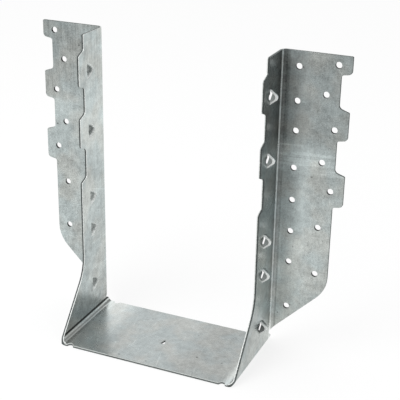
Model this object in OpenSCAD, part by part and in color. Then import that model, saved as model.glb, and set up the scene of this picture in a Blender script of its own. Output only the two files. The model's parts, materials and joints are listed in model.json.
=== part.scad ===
// Face-mount joist hanger, folded from one blank of galvanised sheet steel.
// A joist stands on the seat between two legs, and the flanges are nailed to the
// header. Nails driven at a slant through the domes in the legs run through the
// joist's end into the header, so each of them is held in two planes.
//
// +Z is up, +Y points into the header and X runs across the joist. The origin is
// on the joist's centre line, in the header's face and on top of the seat.

/* [Pocket] */
// Clear width between the legs
inside_w = 139.7; // [90:0.1:190]
// Height of the legs and flanges above the seat
leg_h = 228.6; // [190:0.1:300]
// Length of the seat along the joist
seat_d = 76.2; // [62:0.1:100]

/* [Sheet] */
// Thickness of the sheet
sheet_t = 1.9; // [1.2:0.1:2.6]
// Inside radius of every fold
bend_r = 3; // [2:0.1:4.5]

/* [Stepped edges] */
// Width of the flange at its tabs, from the leg's inner face
flange_w = 51.4; // [46:0.1:62]
// Depth of the leg at its bumps, from the header's face
leg_d = 37.5; // [33:0.1:45]
// How far each step of either edge goes in
step_d = 7.5; // [4:0.1:9]
// Rise of the slant that leads out to a bump of the leg
bump_rise = 3; // [2:0.1:4]
// Drop of a tab's upper edge towards its tip
tab_top_fall = 2.6; // [0.5:0.1:4]
// Rise of a tab's lower edge towards its tip
tab_foot_rise = 1.2; // [0.5:0.1:3]

/* [Flange foot] */
// Slope of the cut across the flange's foot, in degrees
foot_angle = 45; // [40:1:50]
// Height at which that cut would meet the leg's inner face
foot_z = 6.8; // [5:0.1:12]
// Radius between the cut and the flange's outer edge
foot_r = 25; // [5:1:30]

/* [Leg foot] */
// Height of the corner where the leg starts to flare out to the seat
flare_z = 45; // [35:1:60]
// Radius of that corner
flare_r = 30; // [5:1:35]
// How far the flare ends behind the front of the seat
flare_back = 4.2; // [1:0.1:6]
// Height at which the leg's back edge leaves the flange fold
ear_top = 5.5; // [5:0.1:7]
// Height at which that edge reaches the header's face
ear_foot = 3; // [3:0.1:4]

/* [Nail holes] */
// Diameter of the nail holes
nail_hole_d = 4.6; // [3.5:0.1:5]
// Distance of the inner column from the end of the fold
fold_margin = 8.6; // [6:0.1:12]
// Distance of the outer holes from the flange's cut edge
edge_margin = 9.8; // [6:0.1:12]

/* [Nail domes] */
// Distance of the domes' mouths from the header's face
mouth_back = 26; // [24:0.1:27]
// Height of a mouth, measured in the middle of the sheet
mouth_h = 13; // [11:0.1:15]
// Length of a dome behind its mouth
dome_l = 10.5; // [9:0.1:12]
// Radius of a dome's ridge at the mouth
ridge_r = 2.5; // [1.5:0.1:3]
// Diameter of the way that a dome leaves for a nail at 45 degrees
slant_hole_d = 4.2; // [3.5:0.1:4.6]
// Height of that nail's centre line over the sheet's outer face, at the mouth
nail_lift = 0.65; // [0.3:0.05:0.9]

/* [Seat] */
// Radius of the relief notches at the ends of the seat folds
notch_r = 2.4; // [1.5:0.1:3]
// Distance of a notch's centre from the start of the fold
notch_in = 4.45; // [4:0.05:6]
// Distance of the three-cornered gauge hole from the header's face
gauge_back = 41; // [20:1:50]
// Width of the gauge hole at its front
gauge_w = 3.9; // [2:0.1:6]
// Length of the gauge hole
gauge_l = 7.2; // [4:0.1:10]

/* [Hidden] */
$fn = 48;

// Height of the leg that the rows below are given for. On another height the rows
// above the flare spread in proportion, and those beside it stay where they are.
drawn_h = 228.6;
function row(z) = z <= flare_z ? z : flare_z + (z - flare_z) * (leg_h - flare_z) / (drawn_h - flare_z);

// Rows of the steps, from the top. The flange goes in where the leg bumps out,
// because the blanks are cut side by side along one stepped line.
step_rows = [for (z = [215.4, 190.2, 168, 143.2, 118]) row(z)];
// Rows of the nail holes in each column of a flange
inner_rows = [for (z = [217.6, 192.7, 170.8, 142.9, 118, 93.3, 68.5, 31.4]) row(z)];
middle_rows = [for (z = [199.8, 150, 99.9, 62.6]) row(z)];
tab_rows = [for (z = [221.7, 175.2, 129.2]) row(z)];
// Rows of the domes in each leg, staggered so that the slanted nails miss each other
left_dome_rows = [for (z = [200.4, 154.3, 100.6, 74, 26.5]) row(z)];
right_dome_rows = [for (z = [200.4, 154.3, 92.2, 64.8, 21.5]) row(z)];

half_w = inside_w / 2;
fold_r = bend_r + sheet_t;
fold_mid_r = bend_r + sheet_t / 2;
notch_line = flange_w - step_d;
inner_x = fold_r + fold_margin;
middle_x = notch_line - edge_margin;
tab_x = flange_w - edge_margin;
leg_base = leg_d - step_d;
flare_foot = seat_d - flare_back;
flare_slope = (flare_foot - leg_d) / (flare_z - bend_r);
// Where the cut across the flange's foot meets the fold and the outer edge
foot_at_fold = foot_z + fold_r * tan(foot_angle);
foot_at_edge = foot_z + notch_line * tan(foot_angle);
// Slit between the foot of the flange fold and the back edge of the leg
fold_slit = 0.4;
// Roundings of the cut edges: the outer corners, the bumps of the leg, the tabs of the flange
corner_r = 1;
bump_tip_r = 1.7;
bump_root_r = 3;
tab_top_root_r = 3;
tab_foot_root_r = 2;
tab_foot_tip_r = 3;
ear_r = 3;
gauge_r = 0.4;
// A dome's ridge runs just over the slanted nail at the mouth, with the sheet's thickness of roof
dome_rise = nail_lift + slant_hole_d / sqrt(2) + sheet_t;
// Share of the mouth's size that a dome still has at its tip, inside the sheet
tip_share = 0.03;
// Steps in which a dome curves down from its mouth to its tip
dome_steps = 5;
// How far cutting shapes stand past what they cut
past = 1;
arc_step = 10;
zinc = [0.68, 0.7, 0.7];

// The points that round corner b, which comes as [u, v, radius], on the way from a to c
function rounded_corner(a, b, c) =
    let (
        here = [b[0], b[1]],
        back = ([a[0], a[1]] - here) / norm([a[0], a[1]] - here),
        ahead = ([c[0], c[1]] - here) / norm([c[0], c[1]] - here),
        half = acos(back * ahead) / 2,
        centre = here + (back + ahead) / norm(back + ahead) * b[2] / sin(half),
        first = here + back * b[2] / tan(half) - centre,
        last = here + ahead * b[2] / tan(half) - centre,
        start = atan2(first[1], first[0]),
        turn = (atan2(last[1], last[0]) - start + 540) % 360 - 180,
        steps = ceil(abs(turn) / arc_step)
    )
    b[2] == 0 ? [here] : [
        for (i = [0 : steps])
            centre + b[2] * [cos(start + turn * i / steps), sin(start + turn * i / steps)]
    ];

// A closed outline with each of its corners rounded
function rounded(corners) =
    let (n = len(corners))
    [for (i = [0 : n - 1]) each rounded_corner(corners[(i + n - 1) % n], corners[i], corners[(i + 1) % n])];

// Front edge of the leg from top to bottom, as [y, z, radius]: a bump starts at
// each even step, and ends at the odd step below it
function bump_edge() = [
    for (i = [0 : len(step_rows) - 1])
        let (out = i % 2 == 0, z = step_rows[i])
        each [
            [-(out ? leg_base : leg_d), z + bump_rise / 2, out ? bump_root_r : bump_tip_r],
            [-(out ? leg_d : leg_base), z - bump_rise / 2, out ? bump_tip_r : bump_root_r]
        ]
];

// The flare's edge, which runs on straight in the blank and so winds round the seat fold
function flare_edge() = [
    for (angle = [0 : arc_step : 90])
        [
            -min(seat_d, flare_foot + flare_slope * fold_mid_r * angle * PI / 180),
            bend_r - fold_mid_r * sin(angle),
            0
        ]
];

// Outer edge of the flange from bottom to top, as [x, z, radius]: a tab starts
// above each even step from the top, and ends at the odd step above it
function tab_edge() = [
    for (i = [len(step_rows) - 1 : -1 : 0])
        let (foot = i % 2 == 0, z = step_rows[i])
        each (foot ? [
            [notch_line, z - tab_foot_rise / 2, tab_foot_root_r],
            [flange_w, z + tab_foot_rise / 2, tab_foot_tip_r]
        ] : [
            [flange_w, z - tab_top_fall / 2, corner_r],
            [notch_line, z + tab_top_fall / 2, tab_top_root_r]
        ])
];

// The leg seen along X, from the header's face at the foot of the seat fold
module leg_outline() {
    polygon(rounded(concat(
        [[0, -sheet_t, 0], [0, ear_foot, ear_r], [-fold_r, ear_top, 0]],
        [[-fold_r, leg_h, 0], [-leg_base, leg_h, corner_r]],
        bump_edge(),
        [[-leg_d, flare_z, flare_r]],
        flare_edge(),
        [[-seat_d, -sheet_t, 0]]
    )));
}

// The flange seen along Y, with its fold, measured out from the leg's inner face
module flange_outline() {
    polygon(rounded(concat(
        [[0, leg_h, 0], [0, ear_top + fold_slit, 0], [fold_r, foot_at_fold, 0]],
        [[notch_line, foot_at_edge, foot_r]],
        tab_edge(),
        [[flange_w, leg_h, corner_r]]
    )));
}

// A quarter of a turn of sheet, with its axis on Z and its edges along X and Y
module fold(length) {
    rotate_extrude(angle = 90) translate([bend_r, 0]) square([sheet_t, length]);
}

module seat() {
    difference() {
        translate([bend_r - half_w, -seat_d, -sheet_t]) cube([inside_w - 2 * bend_r, seat_d, sheet_t]);
        for (side = [-1, 1], y = [-seat_d, 0])
            translate([side * (half_w - bend_r - notch_in), y, -sheet_t - past])
                cylinder(r = notch_r, h = sheet_t + 2 * past);
        translate([0, -gauge_back, -sheet_t - past]) linear_extrude(sheet_t + 2 * past)
            polygon(rounded([
                [-gauge_w / 2, -gauge_l / 2, gauge_r],
                [gauge_w / 2, -gauge_l / 2, gauge_r],
                [0, gauge_l / 2, gauge_r]
            ]));
    }
}

// A leg and its seat fold
module leg() {
    intersection() {
        translate([half_w - bend_r - past, 0, 0]) rotate([90, 0, 90])
            linear_extrude(fold_r + 2 * past) leg_outline();
        union() {
            translate([half_w, -seat_d, bend_r]) cube([sheet_t, seat_d, leg_h - bend_r]);
            translate([half_w - bend_r, 0, bend_r]) rotate([90, 0, 0]) rotate([0, 0, -90]) fold(seat_d);
        }
    }
}

// A flange and the fold that joins it to its leg
module flange() {
    intersection() {
        translate([half_w, past, 0]) rotate([90, 0, 0])
            linear_extrude(fold_r + 2 * past) flange_outline();
        union() {
            translate([half_w + fold_r, -sheet_t, 0]) cube([flange_w - fold_r, sheet_t, leg_h]);
            translate([half_w + fold_r, -fold_r, 0]) rotate([0, 0, 90]) fold(leg_h);
        }
    }
}

// The form that a punch raises behind a lanced mouth: an arch with a round ridge
// that curves down to a point. X is outwards from the middle of the sheet.
module dome_form() {
    ridge_x = dome_rise + sheet_t / 2 - ridge_r;
    half_angle = atan2(mouth_h / 2, ridge_x) - asin(ridge_r / norm([ridge_x, mouth_h / 2]));
    peak = mouth_h / 2 / tan(half_angle);
    mouth = rounded([[0, -mouth_h / 2, 0], [peak, 0, ridge_r], [0, mouth_h / 2, 0]]);
    n = len(mouth);
    polyhedron(
        points = [
            for (i = [0 : dome_steps], corner = mouth)
                let (share = max(tip_share, 1 - pow(i / dome_steps, 2)))
                [share * corner[0], dome_l * i / dome_steps, share * corner[1]]
        ],
        faces = concat(
            [[for (k = [n - 1 : -1 : 0]) k]],
            [
                for (i = [0 : dome_steps - 1], k = [0 : n - 1])
                    let (next = (k + 1) % n)
                    [i * n + k, i * n + next, (i + 1) * n + next, (i + 1) * n + k]
            ],
            [[for (k = [0 : n - 1]) dome_steps * n + k]]
        )
    );
}

// Puts its children at the mouth of each dome of the leg
module at_domes(rows) {
    for (z = rows) translate([half_w + sheet_t / 2, -mouth_back, z]) children();
}

// What a dome is open to: the hollow under its roof, and the way of a nail at 45 degrees
module dome_hollow() {
    translate([-sheet_t, 0, 0]) dome_form();
    translate([sheet_t / 2 + nail_lift, 0, 0]) rotate([0, 90, 135])
        cylinder(d = slant_hole_d, h = 4 * dome_rise, center = true);
}

module flange_holes(x, rows) {
    for (z = rows)
        translate([half_w + x, past, z]) rotate([90, 0, 0])
            cylinder(d = nail_hole_d, h = sheet_t + 2 * past);
}

// Leg and flange of the right side, with the domes in the given rows
module wing(dome_rows) {
    difference() {
        union() {
            leg();
            flange();
            at_domes(dome_rows) dome_form();
        }
        at_domes(dome_rows) dome_hollow();
        flange_holes(inner_x, inner_rows);
        flange_holes(middle_x, middle_rows);
        flange_holes(tab_x, tab_rows);
    }
}

module hanger() {
    color(zinc) {
        seat();
        wing(right_dome_rows);
        mirror([1, 0, 0]) wing(left_dome_rows);
    }
}

hanger();
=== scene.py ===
"""Galvanised finish for the folded joist hanger, and the plain studio it stands in."""

import json
import math

import bpy
from mathutils import Matrix, Vector

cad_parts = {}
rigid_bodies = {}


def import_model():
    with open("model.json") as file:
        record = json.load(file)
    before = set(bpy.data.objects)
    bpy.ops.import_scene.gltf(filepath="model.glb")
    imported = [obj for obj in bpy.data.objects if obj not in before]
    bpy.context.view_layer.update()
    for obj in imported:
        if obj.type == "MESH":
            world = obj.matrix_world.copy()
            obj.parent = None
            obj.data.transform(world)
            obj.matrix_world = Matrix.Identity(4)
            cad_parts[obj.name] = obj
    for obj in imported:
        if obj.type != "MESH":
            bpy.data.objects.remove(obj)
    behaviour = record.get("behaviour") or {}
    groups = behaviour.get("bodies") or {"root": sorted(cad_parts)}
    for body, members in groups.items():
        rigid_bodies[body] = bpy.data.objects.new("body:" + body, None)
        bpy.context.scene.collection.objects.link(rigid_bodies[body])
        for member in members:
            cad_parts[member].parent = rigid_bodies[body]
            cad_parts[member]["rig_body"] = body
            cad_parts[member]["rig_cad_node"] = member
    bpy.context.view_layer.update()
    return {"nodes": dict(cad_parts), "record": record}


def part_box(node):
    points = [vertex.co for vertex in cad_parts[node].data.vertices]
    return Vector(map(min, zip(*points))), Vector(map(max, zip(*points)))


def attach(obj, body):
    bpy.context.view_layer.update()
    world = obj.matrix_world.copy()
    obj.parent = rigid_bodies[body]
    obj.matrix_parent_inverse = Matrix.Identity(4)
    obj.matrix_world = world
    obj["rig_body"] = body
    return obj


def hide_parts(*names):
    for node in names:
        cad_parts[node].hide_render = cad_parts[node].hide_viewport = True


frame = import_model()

bl_info = {
    "name": "Joist hanger",
    "version": (1, 0, 0),
    "blender": (4, 5, 0),
    "location": "View3D > Sidebar > Joist hanger",
    "description": "Galvanised sheet with sheared edges for the folded joist hanger, and its studio",
    "category": "Object",
}

MM = 0.001
NODE = "hanger"

# Inside radius of every fold, and where the domes' mouths stand from front to back, as in the CAD source
FOLD_INSIDE = 3.0 * MM
DOME_MOUTH = -26.0 * MM

# Attribute that says how far through the sheet a point is, from the joist's or the header's side
DEPTH = "depth"
# Attribute that says how deep a point in a dome lies below the leg's inner face
SINK = "sink"
# Depth at which the attribute SINK reads 1
SINK_FULL = 3.0 * MM

# Corners closer than MERGE are one corner, and faces that turn less than FLAT are one flat face
MERGE = 0.002 * MM
FLAT = math.radians(0.4)
# Faces that turn more than this meet in an edge
SHARP = math.radians(32)

# Where the eye stands in the hanger's own frame, and how it is turned there, in degrees
EYE = Vector((0.29438, -0.65874, 0.40236))
AZIMUTH = 23.341
ELEVATION = 22.588
ROLL = 1.024
LENS_MM = 92.3
SENSOR_MM = 36.0

# Where the softbox stands from the hanger's middle, its width, and the width of the floor
LAMP_FROM_MIDDLE = Vector((-0.45, -0.66, 0.93))
LAMP_WIDTH = 0.8
FLOOR_WIDTH = 12.0
# Ways in which the floor and the room grow lighter, as the metal sees them
FLOOR_LIGHTER = (-0.36, 1.0, 0.0)
ROOM_LIGHTER = (-0.75, 0.6, 0.2)

# Patches painted brighter or darker: painted light and shade on the legs and the seat, and on the left flange
# brighter above and duller below. Each gives from and to across, from and to upwards, in millimetres, and the
# change
PATCHES = (
    (-122, -76, 150, 170, 0.18),
    (-122, -76, -10, 122, -0.10),
    (-72, -64, 150, 180, 0.16),
    (-72, -64, 34, 80, -0.10),
    (-72, -64, -10, 26, -0.20),
    (-72, -64, -10, 12, -0.14),
    (71, 77, 160, 240, -0.30),
    (71, 77, 50, 110, 0.15),
    (-90, -46, -5, 1, 0.40),
    (20, 90, -5, 1, -0.17),
)

# Fine scratches: their slant in degrees about each axis, and their length in millimetres along each axis
SCRATCHES = (
    ((0, 38, 0), (40.0, 30.0, 0.7)),
    ((20, -55, 10), (30.0, 40.0, 0.8)),
)


class HangerSettings(bpy.types.PropertyGroup):
    """Finish of the sheet, wear of its edges and level of the studio."""

    zinc_colour: bpy.props.StringProperty(
        name="Zinc",
        description="Colour of the zinc coating, as sRGB hex",
        default="#BEC6C6",
    )
    cut_colour: bpy.props.StringProperty(
        name="Sheared edge",
        description="Colour of the sheared edges, where the steel and smeared zinc show, as sRGB hex",
        default="#D2D5D3",
    )
    torn_colour: bpy.props.StringProperty(
        name="Torn edge",
        description="Colour of the torn band of an edge, as sRGB hex",
        default="#5E6362",
    )
    # Painted shade: the walls of the nail holes are nearly black
    hole_colour: bpy.props.StringProperty(
        name="Hole wall",
        description="Colour of the walls of the nail holes, as sRGB hex",
        default="#121514",
    )
    warm_colour: bpy.props.StringProperty(
        name="Warm zinc",
        description="Colour of the zinc where it is a little warmer, as sRGB hex",
        default="#C3C6C3",
    )
    # Painted light: the rim of a hollow is made light to match the leg beside it
    rim_colour: bpy.props.StringProperty(
        name="Hollow's rim",
        description="Colour of the zinc at the rim of a dome's hollow, as sRGB hex",
        default="#EEF2F0",
    )
    # Painted shade deep inside the domes
    hollow_colour: bpy.props.StringProperty(
        name="Hollow",
        description="Colour deep inside the domes, as sRGB hex",
        default="#8A908E",
    )
    # Bright sheared steel, made lighter still as a painted highlight
    lip_colour: bpy.props.StringProperty(
        name="Dome lip",
        description="Colour of the sheared sheet round the mouth of a dome, as sRGB hex",
        default="#EEF1EF",
    )
    crease_shade: bpy.props.FloatProperty(
        name="Crease shade",
        description="Share of its brightness that the zinc keeps in the crease of a seat fold",
        default=0.35,
        min=0.0,
        max=1.0,
        subtype="FACTOR",
    )
    scuff: bpy.props.FloatProperty(
        name="Scuffs",
        description="How much brighter the scuffs across the right flange are",
        default=0.44,
        min=0.0,
        max=1.0,
        subtype="FACTOR",
    )
    # A brighter band beside the right fold, most at its foot
    run: bpy.props.FloatProperty(
        name="Zinc run",
        description="How much brighter the zinc is beside the right fold, most at its foot",
        default=0.35,
        min=0.0,
        max=1.0,
        subtype="FACTOR",
    )
    # Painted light and shade on the legs and the seat, and brighter and duller patches on the left flange
    patches: bpy.props.FloatProperty(
        name="Patches",
        description="Strength of the brighter and duller patches of the coating",
        default=1.0,
        min=0.0,
        max=2.0,
        subtype="FACTOR",
    )
    spangle_size: bpy.props.FloatProperty(
        name="Spangle",
        description="Width of a zinc crystal",
        default=9.0 * MM,
        min=2.0 * MM,
        max=30.0 * MM,
        subtype="DISTANCE",
        unit="LENGTH",
    )
    spangle_contrast: bpy.props.FloatProperty(
        name="Spangle contrast",
        description="How far the crystals differ in brightness",
        default=0.10,
        min=0.0,
        max=0.5,
        subtype="FACTOR",
    )
    roughness: bpy.props.FloatProperty(
        name="Roughness",
        description="Roughness of the zinc between its dull and bright patches",
        default=0.27,
        min=0.05,
        max=0.8,
        subtype="FACTOR",
    )
    # Painted highlight along the flange folds and on the domes' roofs
    fold_and_dome_highlight: bpy.props.FloatProperty(
        name="Burnish",
        description="How much brighter the zinc is where the tools have rubbed the flange folds and domes",
        default=0.8,
        min=0.0,
        max=1.0,
        subtype="FACTOR",
    )
    matt: bpy.props.FloatProperty(
        name="Matt fold",
        description="How much rougher the flanges are beside their folds",
        default=0.25,
        min=0.0,
        max=0.6,
        subtype="FACTOR",
    )
    edge_break: bpy.props.FloatProperty(
        name="Edge break",
        description="Width of the rounding that shearing and galvanising leave on an edge",
        default=0.22 * MM,
        min=0.05 * MM,
        max=0.5 * MM,
        subtype="DISTANCE",
        unit="LENGTH",
    )
    room_light: bpy.props.FloatProperty(
        name="Room light",
        description="Level of the even light from all sides",
        default=0.95,
        min=0.0,
        max=2.0,
    )
    lamp_power: bpy.props.FloatProperty(
        name="Lamp",
        description="Power of the softbox over the left shoulder",
        default=7.0,
        min=0.0,
        max=200.0,
        unit="POWER",
    )


def linear(hex_colour):
    """An sRGB hex colour as linear RGBA."""
    parts = [int(hex_colour[i : i + 2], 16) / 255 for i in (1, 3, 5)]
    return [c / 12.92 if c <= 0.04045 else ((c + 0.055) / 1.055) ** 2.4 for c in parts] + [1.0]


def new_tree(owner):
    """The owner's node tree, emptied."""
    owner.use_nodes = True
    owner.node_tree.nodes.clear()
    return owner.node_tree


def add_node(tree, kind, inputs=None, **settings):
    """
    A new shader node. The settings are its own properties. The inputs give its sockets, by name or by number,
    a value, another node's socket, or a node, which stands for its first output. Only sockets in use count.
    """
    node = tree.nodes.new("ShaderNode" + kind)
    for name, value in settings.items():
        setattr(node, name, value)
    sockets = [socket for socket in node.inputs if socket.enabled]
    for key, value in (inputs or {}).items():
        socket = sockets[key] if isinstance(key, int) else next(s for s in sockets if s.name == key)
        if isinstance(value, bpy.types.Node):
            value = next(output for output in value.outputs if output.enabled)
        if isinstance(value, bpy.types.NodeSocket):
            tree.links.new(value, socket)
        else:
            socket.default_value = value
    return node


def blots(tree, place, size, detail=2.0, roughness=0.5, slant=None):
    """
    Soft blots that read from 0 to 1. Their size is in metres: one length, or one for each axis. A slant turns
    them, in degrees about each axis.
    """
    if slant:
        turn = [math.radians(angle) for angle in slant]
        place = add_node(tree, "Mapping", {"Vector": place, "Rotation": turn})
    lengths = size if isinstance(size, tuple) else (size,) * 3
    per_metre = [1.0 / length for length in lengths]
    scaled = add_node(tree, "VectorMath", {0: place, 1: per_metre}, operation="MULTIPLY")
    pattern = {"Vector": scaled, "Scale": 1.0, "Detail": detail, "Roughness": roughness}
    return add_node(tree, "TexNoise", pattern)


def product(tree, *factors):
    """
    The product of its factors. A factor in brackets is a smooth slope: what it follows, where it starts and
    ends, and what it reads there, which is 0 and 1 unless it is given.
    """
    total = None
    for factor in factors:
        if isinstance(factor, tuple):
            follows, start, end, *reads = factor
            low, high = reads or (0.0, 1.0)
            slope = {"Value": follows, "From Min": start, "From Max": end, "To Min": low, "To Max": high}
            factor = add_node(tree, "MapRange", slope, interpolation_type="SMOOTHSTEP")
        if total is None:
            total = factor
        else:
            total = add_node(tree, "Math", {0: total, 1: factor}, operation="MULTIPLY")
    return total


def layered(tree, total, *layers, middle=0.5):
    """The total plus, for each layer, its weight times how far its pattern is from the middle."""
    for pattern, weight in layers:
        offset = add_node(tree, "Math", {0: pattern, 1: middle}, operation="SUBTRACT")
        total = add_node(tree, "Math", {0: offset, 1: weight, 2: total}, operation="MULTIPLY_ADD")
    return total


def patch_borders(value, low, high):
    """The two slopes that bound a patch along one axis: 20 mm wide, or 2 mm where the patch is narrow."""
    soft = 1 * MM if high - low < 10 * MM else 10 * MM
    return (value, low - soft, low + soft), (value, high - soft, high + soft, 1.0, 0.0)


def zinc(tree, place, settings):
    """Tone, roughness and relief of zinc, with a low spangle, smudges, streaks, specks and scratches."""
    x, y, z = add_node(tree, "SeparateXYZ", {"Vector": place}).outputs
    # Crystal borders wander, so the place is nudged by a noise before the cells are drawn
    width = settings.spangle_size
    wander = add_node(tree, "TexNoise", {"Vector": place, "Scale": 1.4 / width, "Detail": 2.0}).outputs
    off_centre = add_node(tree, "VectorMath", {0: wander["Color"], 1: (0.5,) * 3}, operation="SUBTRACT")
    nudge = {0: off_centre, 1: (width * 1.2,) * 3, 2: place}
    nudged = add_node(tree, "VectorMath", nudge, operation="MULTIPLY_ADD")
    crystals = {"Vector": nudged, "Scale": 1.0 / width, "Smoothness": 0.35}
    spangle = add_node(tree, "TexVoronoi", crystals, feature="SMOOTH_F1").outputs["Color"]
    crystal = add_node(tree, "SeparateColor", {"Color": spangle}).outputs
    smudge = blots(tree, place, 22 * MM, 4.0, 0.6)
    stain = blots(tree, place, 4.5 * MM, 4.0, 0.6)
    speckle = blots(tree, place, 1.5 * MM)
    streak = blots(tree, place, (1.6 * MM, 1.6 * MM, 26 * MM), 3.0, 0.6)
    # Finer streaks are on the upper left side only, and a finer grain is on the flanges only
    fine_streak = blots(tree, place, (0.9 * MM, 0.9 * MM, 34 * MM), 2.0, 0.6)
    upper_left = product(tree, (x, -1 * MM, 1 * MM, 1.0, 0.0), (z, 140 * MM, 200 * MM, 0.0, 0.7))
    grain = blots(tree, place, 1.0 * MM)
    on_flanges = product(tree, (y, -3 * MM, -2 * MM, 0.0, 0.8))
    tone = layered(
        tree,
        1.0,
        (crystal["Red"], settings.spangle_contrast),
        (smudge, 0.42),
        (stain, 0.80),
        (speckle, 0.40),
        (streak, 0.30),
        (fine_streak, upper_left),
        (grain, on_flanges),
    )
    # The seat is plainer than the rest
    tone = layered(tree, 1.0, (tone, product(tree, (z, 1 * MM, 3 * MM, 0.65, 1.0))), middle=1.0)
    # A few dark specks of dross, one to two millimetres wide, in a third of the 11 mm cells
    cell = add_node(tree, "TexVoronoi", {"Vector": place, "Scale": 1.0 / (11 * MM)}).outputs
    chance = add_node(tree, "SeparateColor", {"Color": cell["Color"]}).outputs["Red"]
    speck = product(tree, (cell["Distance"], 0.05, 0.09, 1.0, 0.0), (chance, 0.66, 0.70))
    tone = layered(tree, tone, (speck, -0.5), middle=0.0)
    for slant, lengths in SCRATCHES:
        scratch = blots(tree, place, tuple(length * MM for length in lengths), 1.0, slant=slant)
        tone = layered(tree, tone, (product(tree, (scratch, 0.69, 0.78)), 0.18), middle=0.0)
    rough = layered(tree, settings.roughness, (crystal["Green"], 0.05), (smudge, -0.20), (speckle, 0.10))
    waves = blots(tree, place, 22 * MM, 1.0)
    relief = layered(tree, 0.5, (crystal["Blue"], 0.12), (speckle, 0.22), (waves, 3.0))
    return tone, rough, relief


def seat_fold_shading(tree, tone, across, z, sheet, settings):
    """
    The tone with painted light and shade along each seat fold, from its leg down: painted shade in the
    crease, a painted highlight, and painted shade again. Each lies so many fold radii inwards and upwards,
    fades out between two distances, and scales the tone.
    """
    section = add_node(tree, "CombineXYZ", {"X": across, "Z": z})
    # Painted shade in the crease, a painted highlight below it, then painted shade again near the seat
    for inwards, upwards, near, far, share in (
        (0.0, 1.3, 0.7 * MM, 1.4 * MM, settings.crease_shade),
        (0.08, 0.62, 0.3 * MM, 1.3 * MM, 1.9),
        (0.6, 0.1, 0.6 * MM, 2.0 * MM, 0.62),
    ):
        line = (sheet.half - inwards * FOLD_INSIDE, 0.0, upwards * FOLD_INSIDE)
        away = add_node(tree, "VectorMath", {0: section, 1: line}, operation="DISTANCE")
        tone = product(tree, tone, (away, near, far, share, 1.0))
    return tone


def fold_lights_and_matt(tree, across, y, sheet):
    """
    Masks, each from 0 to 1: a painted highlight on the line where a flange fold leaves its leg, painted shade
    on the line where it meets its flange, a painted highlight on the roof of each dome along its mouth, and
    the matt band beside the fold.
    """
    flange = sheet.half + sheet.turn
    leaves = product(
        tree,
        (across, sheet.half + 1.0 * MM, sheet.half + 1.4 * MM),
        (y, -sheet.turn - 0.3 * MM, -sheet.turn),
        (y, -sheet.turn + 1.4 * MM, -sheet.turn + 1.8 * MM, 1.0, 0.0),
    )
    meets = product(
        tree,
        (across, flange - 1.1 * MM, flange - 0.7 * MM),
        (across, flange + 0.1 * MM, flange + 0.5 * MM, 1.0, 0.0),
    )
    outside = sheet.half + sheet.thick
    roof = product(
        tree,
        (across, outside + 0.3 * MM, outside + 0.8 * MM),
        (y, DOME_MOUTH + 1.0 * MM, DOME_MOUTH + 1.6 * MM, 1.0, 0.0),
    )
    matt = product(
        tree,
        (across, sheet.half + 1 * MM, flange),
        (across, flange, flange + 24 * MM, 1.0, 0.0),
    )
    return leaves, meets, roof, matt


def patched(tree, tone, x, z, settings):
    """The tone with the patches painted brighter or darker: painted light and shade on the legs and the seat.
    """
    for left, right, foot, top, change in PATCHES:
        sides = patch_borders(x, left * MM, right * MM)
        ends = patch_borders(z, foot * MM, top * MM)
        tone = layered(tree, tone, (product(tree, *sides, *ends), change * settings.patches), middle=0.0)
    return tone


def galvanised_sheet(settings, sheet):
    """Hot-dip galvanised sheet: bright zinc with a soft, low spangle, and painted shade in the seat folds."""
    material = bpy.data.materials.new("galvanised_sheet")
    tree = new_tree(material)
    place = add_node(tree, "TexCoord").outputs["Object"]
    x, y, z = add_node(tree, "SeparateXYZ", {"Vector": place}).outputs
    across = add_node(tree, "Math", {0: x}, operation="ABSOLUTE")
    flange = sheet.half + sheet.turn
    tone, rough, relief = zinc(tree, place, settings)
    tone = seat_fold_shading(tree, tone, across, z, sheet, settings)
    leaves, meets, roof, matt = fold_lights_and_matt(tree, across, y, sheet)
    # Painted light: the seat is a little brighter beside its folds
    beside = product(
        tree,
        (across, sheet.half - 9 * MM, sheet.half - 2.5 * MM),
        (z, 0.05 * MM, 0.3 * MM, 1.0, 0.0),
    )
    # Light scuffs run across the right flange
    rubbed = blots(tree, place, (70 * MM, 70 * MM, 2.4 * MM), slant=(0, 2, 0))
    scuff = product(
        tree,
        (z, 138 * MM, 143 * MM),
        (z, 159 * MM, 164 * MM, 1.0, 0.0),
        (x, sheet.half, flange),
        (rubbed, 0.46, 0.66, 0.35, 1.0),
    )
    # The zinc is brighter beside the right fold, most at its foot
    run = product(
        tree,
        (x, flange, flange + 1 * MM),
        (x, flange + 8 * MM, flange + 26 * MM, 1.0, 0.0),
        (z, 110 * MM, 160 * MM, 1.0, 0.45),
    )
    # Painted highlights along the flange folds and on the domes' roofs, and painted shade where a flange fold
    # meets its flange
    tone = layered(
        tree,
        tone,
        (beside, 0.75),
        (scuff, settings.scuff),
        (run, settings.run),
        (leaves, settings.fold_and_dome_highlight),
        (roof, settings.fold_and_dome_highlight),
        (meets, -0.1),
        middle=0.0,
    )
    tone = patched(tree, tone, x, z, settings)
    rough = layered(tree, rough, (matt, settings.matt), middle=0.0)
    # The painted highlights are also less metallic
    metal = layered(tree, 1.0, (leaves, -0.35), (roof, -0.6), middle=0.0)
    warmth = product(tree, (blots(tree, place, 24 * MM, 3.0), 0.38, 0.62))
    tints = {"Factor": warmth, "A": linear(settings.zinc_colour), "B": linear(settings.warm_colour)}
    tint = add_node(tree, "Mix", tints, data_type="RGBA")
    colour = add_node(tree, "VectorMath", {"Vector": tint, "Scale": tone}, operation="SCALE")
    bump = add_node(tree, "Bump", {"Height": relief, "Distance": 0.05 * MM, "Strength": 1.0})
    coating = {"Base Color": colour, "Metallic": metal, "Roughness": rough, "Normal": bump}
    shader = add_node(tree, "BsdfPrincipled", coating)
    add_node(tree, "OutputMaterial", {"Surface": shader})
    return material


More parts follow.
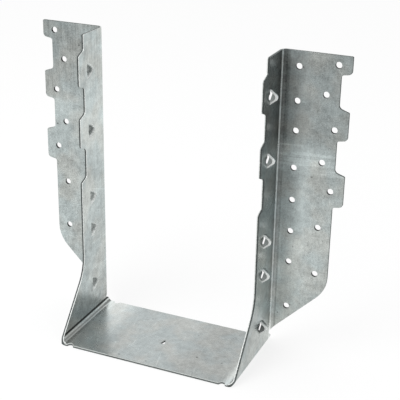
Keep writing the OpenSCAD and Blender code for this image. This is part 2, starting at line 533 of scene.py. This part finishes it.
def sheared_edge(settings):
    """Sheared edge of the sheet: a smooth bright band on the punch's side, then a dull grey torn band."""
    material = bpy.data.materials.new("sheared_edge")
    tree = new_tree(material)
    place = add_node(tree, "TexCoord").outputs["Object"]
    depth = add_node(tree, "Attribute", attribute_name=DEPTH).outputs["Fac"]
    wander = layered(tree, depth, (blots(tree, place, 1.2 * MM), 0.35), middle=0.0)
    torn = product(tree, (wander, 0.48, 0.60))
    bands = {"Factor": torn, "A": linear(settings.cut_colour), "B": linear(settings.torn_colour)}
    colour = add_node(tree, "Mix", bands, data_type="RGBA")
    metal = product(tree, (torn, 0.0, 1.0, 0.3, 1.0))
    rough = product(tree, (torn, 0.0, 1.0, 0.45, 0.6))
    shader = add_node(tree, "BsdfPrincipled", {"Base Color": colour, "Metallic": metal, "Roughness": rough})
    add_node(tree, "OutputMaterial", {"Surface": shader})
    return material


def torn_edge(settings):
    """Top edge of a flange or front edge of the seat: a thin bright line, then torn, dull grey steel."""
    material = bpy.data.materials.new("torn_edge")
    tree = new_tree(material)
    place = add_node(tree, "TexCoord").outputs["Object"]
    depth = add_node(tree, "Attribute", attribute_name=DEPTH).outputs["Fac"]
    level = product(tree, (blots(tree, place, 2.5 * MM), 0.3, 0.7, 0.85, 1.4))
    steel = {"Vector": linear(settings.torn_colour)[:3], "Scale": level}
    torn = add_node(tree, "VectorMath", steel, operation="SCALE")
    bands = {"Factor": product(tree, (depth, 0.18, 0.36)), "A": linear(settings.cut_colour), "B": torn}
    colour = add_node(tree, "Mix", bands, data_type="RGBA")
    shader = add_node(tree, "BsdfPrincipled", {"Base Color": colour, "Metallic": 0.5, "Roughness": 0.6})
    add_node(tree, "OutputMaterial", {"Surface": shader})
    return material


def drawn_hollow(settings):
    """Inside of a dome: painted light at the rim, and painted shade that darkens towards the bottom."""
    material = bpy.data.materials.new("drawn_hollow")
    tree = new_tree(material)
    place = add_node(tree, "TexCoord").outputs["Object"]
    where = add_node(tree, "SeparateXYZ", {"Vector": place}).outputs
    sink = add_node(tree, "Attribute", attribute_name=SINK).outputs["Fac"]
    # Painted shade darkens from the rim down and is a little lighter again at the bottom
    blurred = layered(tree, sink, (blots(tree, place, 1.6 * MM, 3.0), 0.6))
    bottom = product(tree, (blurred, 0.7, 1.1))
    shade_depth = layered(tree, product(tree, (blurred, 0.10, 0.55)), (bottom, -0.4), middle=0.0)
    # The lower domes of the left leg get less of the painted shade
    less_shade_low_left = product(tree, (where["X"], -1 * MM, 1 * MM, 1.0, 0.0), (where["Z"], 105 * MM, 125 * MM, 0.2, 0.0))
    # The right leg's domes take the full painted shade all through, and the lowest one is the darkest
    right_domes = product(tree, (where["X"], -1 * MM, 1 * MM))
    shade_depth_left = product(tree, shade_depth, layered(tree, 1.0, (less_shade_low_left, -1.0), middle=0.0))
    shade_depth_all = layered(tree, shade_depth_left, (right_domes, 1.0), middle=0.0)
    dark = product(tree, right_domes, (where["Z"], 35 * MM, 50 * MM, 0.65, 0.15))
    metal = layered(tree, product(tree, (less_shade_low_left, 0.0, 0.2, 0.45, 0.3)), (right_domes, 0.55), middle=0.0)
    tints = {"Factor": shade_depth_all, "A": linear(settings.rim_colour), "B": linear(settings.hollow_colour)}
    tint = add_node(tree, "Mix", tints, data_type="RGBA")
    light = layered(tree, 1.0, (dark, -1.0), middle=0.0)
    colour = add_node(tree, "VectorMath", {"Vector": tint, "Scale": light}, operation="SCALE")
    shader = add_node(tree, "BsdfPrincipled", {"Base Color": colour, "Metallic": metal, "Roughness": 0.45})
    add_node(tree, "OutputMaterial", {"Surface": shader})
    return material


def drawn_lip(settings):
    """Lip of a dome's mouth, where the sheet was sheared: bright steel, made lighter still as a painted
    highlight.
    """
    material = bpy.data.materials.new("drawn_lip")
    tree = new_tree(material)
    colour = linear(settings.lip_colour)
    shader = add_node(tree, "BsdfPrincipled", {"Base Color": colour, "Metallic": 0.2, "Roughness": 0.5})
    add_node(tree, "OutputMaterial", {"Surface": shader})
    return material


def punched_hole(settings):
    """Wall of a punched nail hole: dull steel, nearly black as painted shade."""
    material = bpy.data.materials.new("punched_hole")
    tree = new_tree(material)
    colour = linear(settings.hole_colour)
    shader = add_node(tree, "BsdfPrincipled", {"Base Color": colour, "Metallic": 0.3, "Roughness": 0.6})
    add_node(tree, "OutputMaterial", {"Surface": shader})
    return material


class Sheet:
    """
    Where the folded sheet's flats, folds and nail holes lie, from the CAD node and the record. Half is half
    the pocket's width, and turn is the outer radius of every fold.
    """

    # How far a face may stand from where it belongs
    SLACK = 0.05 * MM

    def __init__(self):
        low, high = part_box(NODE)
        mounts = {mount["name"]: mount for mount in frame["record"]["mounts"]}
        self.thick = -low.z
        self.height = high.z
        self.turn = FOLD_INSIDE + self.thick
        self.half = mounts["joist_side_right"]["pos_m"][0]
        # Only the domes and the flanges stand further out than this
        self.clear = self.half + 1.2 * self.thick
        self.holes = []
        for mount in mounts.values():
            if mount["kind"] == "bolt_pattern":
                right = mount["dims"]["spacing_x_mm"] * MM / 2
                rise = mount["dims"].get("spacing_y_mm", 0.0) * MM / 2
                self.holes += [(right, mount["pos_m"][2] + way * rise) for way in (-1, 1)]
        widest = max(mount["dims"].get("hole_r_mm", 0.0) for mount in mounts.values())
        self.hole_reach = widest * MM + 4 * self.SLACK

    def depth(self, point):
        """How far through the sheet a point is: 0 on the joist's or the header's side, 1 on the other."""
        across = abs(point.x)
        fold = self.half - FOLD_INSIDE
        if across > fold and point.z < FOLD_INSIDE:
            through = math.hypot(across - fold, point.z - FOLD_INSIDE) - FOLD_INSIDE
        elif point.z <= 0.0:
            through = -point.z
        elif point.y > -self.turn and across > self.half:
            radius = math.hypot(across - self.half - self.turn, point.y + self.turn)
            through = self.turn - radius if across < self.half + self.turn else -point.y
        elif across > self.clear:
            through = 0.0
        else:
            through = across - self.half
        return min(1.0, max(0.0, through / self.thick))

    def sink(self, point):
        """How deep a point lies below the leg's inner face: 0 at the face, 1 at the full depth and beyond."""
        return min(1.0, max(0.0, (abs(point.x) - self.half) / SINK_FULL))

    def is_cut(self, centre, normal):
        """Whether a face was made by the shear or the punch."""
        across = abs(centre.x)
        outside = self.half + self.thick
        # On a flange
        if across > self.half + self.turn - self.SLACK and centre.y > -self.thick - self.SLACK:
            return abs(normal.y) < 0.5
        # On the seat
        if centre.z < self.SLACK and across < self.half - FOLD_INSIDE + self.SLACK:
            return abs(normal.z) < 0.5
        # On a seat fold
        if centre.z < FOLD_INSIDE and across < outside + self.SLACK:
            return abs(normal.y) > 0.3
        # On a flange fold, or on the ear below its foot
        if centre.y > -self.turn:
            ear = centre.z < 2 * self.turn and across < outside
            return abs(normal.z) > 0.5 or (ear and abs(normal.x) < 0.5)
        # On a dome
        if across > outside + self.SLACK:
            return normal.y < -0.9
        # On a leg
        return abs(normal.x) < 0.5 and across > self.half - self.SLACK

    def is_hollow(self, centre, normal):
        """Whether a face is the inside of a dome."""
        if centre.y > -self.turn or centre.z < FOLD_INSIDE or abs(centre.x) < self.half + self.SLACK:
            return False
        return normal.x * math.copysign(1.0, centre.x) < -0.05

    def is_lip(self, centre, normal, reach):
        """Whether a face is the lip of a dome's mouth, whose corners stand clear of the leg."""
        return centre.y < -self.turn and normal.y < -0.9 and reach > self.clear

    def is_torn(self, centre, normal):
        """Whether a cut face is the top edge of a flange or the front edge of the seat."""
        if centre.z < 0.0:
            return normal.y < -0.7 and abs(centre.x) < self.half - FOLD_INSIDE
        at_top = normal.z > 0.7 and centre.z > self.height - 2 * self.SLACK
        return at_top and abs(centre.x) > self.half + self.turn

    def is_hole(self, centre):
        """Whether a cut face is the wall of a nail hole in a flange."""
        if abs(centre.x) < self.half + self.turn:
            return False
        return any(math.hypot(abs(centre.x) - x, centre.z - z) < self.hole_reach for x, z in self.holes)

    def finish(self, centre, normal, reach):
        """Which finish a face has, from its middle, its normal and how far out its corners reach."""
        if self.is_lip(centre, normal, reach):
            return "lip"
        if self.is_hollow(centre, normal):
            return "hollow"
        if not self.is_cut(centre, normal):
            return "zinc"
        if self.is_hole(centre):
            return "hole"
        return "torn" if self.is_torn(centre, normal) else "sheared"


def activate(piece):
    """Makes one object the selected and active one."""
    bpy.ops.object.select_all(action="DESELECT")
    piece.select_set(True)
    bpy.context.view_layer.objects.active = piece


def merged_copy(name):
    """A copy of the CAD node by itself, its loose triangles merged into whole faces."""
    activate(frame["nodes"][NODE])
    bpy.ops.object.duplicate()
    piece = bpy.context.view_layer.objects.active
    piece.parent = None
    piece.name = name
    # The copy is a piece of its own, so it drops the marks of a CAD node
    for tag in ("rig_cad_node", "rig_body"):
        if tag in piece:
            del piece[tag]
    bpy.ops.object.mode_set(mode="EDIT")
    bpy.ops.mesh.customdata_custom_splitnormals_clear()
    bpy.ops.mesh.select_all(action="SELECT")
    bpy.ops.mesh.remove_doubles(threshold=MERGE)
    bpy.ops.mesh.dissolve_limited(angle_limit=FLAT)
    bpy.ops.object.mode_set(mode="OBJECT")
    return piece


def folded_sheet(settings):
    """The hanger's sheet with broken edges, and a finish for each face by how it was made."""
    piece = merged_copy("folded_sheet")
    mesh = piece.data
    sheet = Sheet()
    finishes = {
        "zinc": galvanised_sheet(settings, sheet),
        "sheared": sheared_edge(settings),
        "hole": punched_hole(settings),
        "hollow": drawn_hollow(settings),
        "lip": drawn_lip(settings),
        "torn": torn_edge(settings),
    }
    mesh.materials.clear()
    for material in finishes.values():
        mesh.materials.append(material)
    order = list(finishes)
    for face in mesh.polygons:
        reach = max(abs(mesh.vertices[corner].co.x) for corner in face.vertices)
        face.material_index = order.index(sheet.finish(face.center, face.normal, reach))
    bpy.ops.object.modifier_add(type="BEVEL")
    bevel = piece.modifiers[-1]
    bevel.width = settings.edge_break
    bevel.segments = 2
    bevel.limit_method = "ANGLE"
    bevel.angle_limit = SHARP
    bevel.use_clamp_overlap = False
    bpy.ops.object.modifier_apply(modifier=bevel.name)
    # The bevel pushes two corners of the seat folds a hundredth of a millimetre into the header
    for vertex in mesh.vertices:
        vertex.co.y = min(vertex.co.y, 0.0)
    for name, measure in ((DEPTH, sheet.depth), (SINK, sheet.sink)):
        values = [measure(vertex.co) for vertex in mesh.vertices]
        mesh.attributes.new(name, "FLOAT", "POINT").data.foreach_set("value", values)
    bpy.ops.object.shade_smooth_by_angle(angle=SHARP)
    bpy.ops.object.modifier_add(type="WEIGHTED_NORMAL")
    weigh = piece.modifiers[-1]
    weigh.keep_sharp = True
    bpy.ops.object.modifier_apply(modifier=weigh.name)
    return piece


class HANGER_OT_sheet(bpy.types.Operator):
    """Builds the folded galvanised sheet in place of the plain CAD node"""

    bl_idname = "hanger.sheet"
    bl_label = "Folded sheet"

    def execute(self, context):
        piece = folded_sheet(context.scene.hanger_settings)
        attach(piece, "root")
        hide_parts(NODE)
        return {"FINISHED"}


def white_paper():
    """White paper that keeps the hanger's shadow, and that the metal sees greyer where the room is dim."""
    material = bpy.data.materials.new("white_paper")
    tree = new_tree(material)
    place = add_node(tree, "TexCoord").outputs["Object"]
    where = add_node(tree, "SeparateXYZ", {"Vector": place}).outputs
    rays = add_node(tree, "LightPath").outputs
    # Metal sees the paper fall off into the grey of the room in front and to the right
    behind = add_node(tree, "VectorMath", {0: place, 1: FLOOR_LIGHTER}, operation="DOT_PRODUCT")
    corner = product(tree, (where["X"], 0.03, 0.22), (where["Y"], -0.05, 0.12, 1.0, 0.0))
    lit = layered(tree, 1.0, (corner, -0.74), middle=0.0)
    level = product(tree, (behind, -0.37, -0.27, 0.55, 0.95), lit)
    greys = {"Factor": level, "A": linear("#000000"), "B": linear("#FDFFFE")}
    mirrored = add_node(tree, "Mix", greys, data_type="RGBA")
    papers = {"Factor": rays["Is Glossy Ray"], "A": linear("#FCFCFC"), "B": mirrored}
    colour = add_node(tree, "Mix", papers, data_type="RGBA")
    # To the eye and the metal the paper mostly glows by itself, which keeps it white and its shadow soft
    glow = add_node(tree, "Emission", {"Color": colour, "Strength": 1.0})
    paper = add_node(tree, "BsdfDiffuse", {"Color": colour})
    shown = add_node(tree, "Math", {0: rays["Is Camera Ray"], 1: rays["Is Glossy Ray"]}, operation="MAXIMUM")
    mixed = add_node(tree, "MixShader", {0: product(tree, shown, 0.8), 1: paper, 2: glow})
    add_node(tree, "OutputMaterial", {"Surface": mixed})
    return material


def studio_floor(centre, base):
    """A wide pale floor under the hanger."""
    bpy.ops.object.select_all(action="DESELECT")
    bpy.ops.mesh.primitive_plane_add(size=FLOOR_WIDTH, location=(centre.x, centre.y, base))
    floor = bpy.context.view_layer.objects.active
    bpy.ops.object.transform_apply(location=True, rotation=True, scale=True)
    floor.name = "floor"
    floor.data.materials.append(white_paper())


def studio_world(settings):
    """White all round to the eye. Metal sees it too, dimmer on the side where the eye stands."""
    world = bpy.data.worlds.new("studio")
    bpy.context.scene.world = world
    tree = new_tree(world)
    rays = add_node(tree, "LightPath").outputs
    direction = add_node(tree, "TexCoord").outputs["Generated"]
    towards = add_node(tree, "VectorMath", {0: direction, 1: ROOM_LIGHTER}, operation="DOT_PRODUCT")
    front = product(tree, (towards, -0.4, 0.9, 0.25, 0.9))
    sides = {"Factor": rays["Is Glossy Ray"], "A": settings.room_light, "B": front}
    room = add_node(tree, "Mix", sides)
    straight = {0: rays["Is Camera Ray"], 1: rays["Is Transmission Ray"]}
    plain = add_node(tree, "Math", straight, operation="MAXIMUM")
    level = add_node(tree, "Mix", {"Factor": plain, "A": room, "B": 1.0})
    sky = add_node(tree, "Background", {"Color": linear("#FFFFFF"), "Strength": level})
    add_node(tree, "OutputWorld", {"Surface": sky})


def softbox(name, place, target, width, power):
    """A square lamp that faces target."""
    bpy.ops.object.select_all(action="DESELECT")
    bpy.ops.object.light_add(type="AREA", location=place)
    lamp = bpy.context.view_layer.objects.active
    lamp.name = name
    lamp.data.size = width
    lamp.data.energy = power
    lamp.rotation_euler = (target - place).to_track_quat("-Z", "Y").to_euler()


def studio_camera():
    """The camera, at the eye and turned as it looks."""
    bpy.ops.object.select_all(action="DESELECT")
    bpy.ops.object.camera_add(location=EYE)
    camera = bpy.context.view_layer.objects.active
    turn, lift, roll = (math.radians(angle) for angle in (AZIMUTH, ELEVATION, ROLL))
    back = Vector((math.sin(turn) * math.cos(lift), -math.cos(turn) * math.cos(lift), math.sin(lift)))
    right = (-back).cross(Vector((0, 0, 1))).normalized()
    up = right.cross(-back)
    leaning_right = right * math.cos(roll) + up * math.sin(roll)
    leaning_up = up * math.cos(roll) - right * math.sin(roll)
    camera.rotation_euler = Matrix((leaning_right, leaning_up, back)).transposed().to_euler()
    camera.data.lens = LENS_MM
    camera.data.sensor_width = SENSOR_MM
    bpy.context.scene.camera = camera


class HANGER_OT_stage(bpy.types.Operator):
    """Sets up the floor, the white room, the softbox and the camera"""

    bl_idname = "hanger.stage"
    bl_label = "Studio"

    def execute(self, context):
        settings = context.scene.hanger_settings
        low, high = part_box(NODE)
        centre = (low + high) / 2
        studio_floor(centre, low.z)
        studio_world(settings)
        softbox("key_softbox", centre + LAMP_FROM_MIDDLE, centre, LAMP_WIDTH, settings.lamp_power)
        studio_camera()
        context.scene.view_settings.view_transform = "Standard"
        return {"FINISHED"}


class HANGER_PT_panel(bpy.types.Panel):
    """Settings and steps of the joist hanger"""

    bl_label = "Joist hanger"
    bl_idname = "HANGER_PT_panel"
    bl_space_type = "VIEW_3D"
    bl_region_type = "UI"
    bl_category = "Joist hanger"

    def draw(self, context):
        settings = context.scene.hanger_settings
        for name in settings.bl_rna.properties.keys():
            if name not in ("rna_type", "name"):
                self.layout.prop(settings, name)
        self.layout.operator("hanger.sheet")
        self.layout.operator("hanger.stage")


CLASSES = (HangerSettings, HANGER_OT_sheet, HANGER_OT_stage, HANGER_PT_panel)


def register():
    """Adds the settings, the operators and the panel."""
    for cls in CLASSES:
        bpy.utils.register_class(cls)
    bpy.types.Scene.hanger_settings = bpy.props.PointerProperty(type=HangerSettings)


def unregister():
    """Takes the settings, the operators and the panel away again."""
    del bpy.types.Scene.hanger_settings
    for cls in reversed(CLASSES):
        bpy.utils.unregister_class(cls)


def main():
    """Builds the finished hanger in its studio."""
    register()
    bpy.ops.hanger.sheet()
    bpy.ops.hanger.stage()


if __name__ == "__main__":
    main()
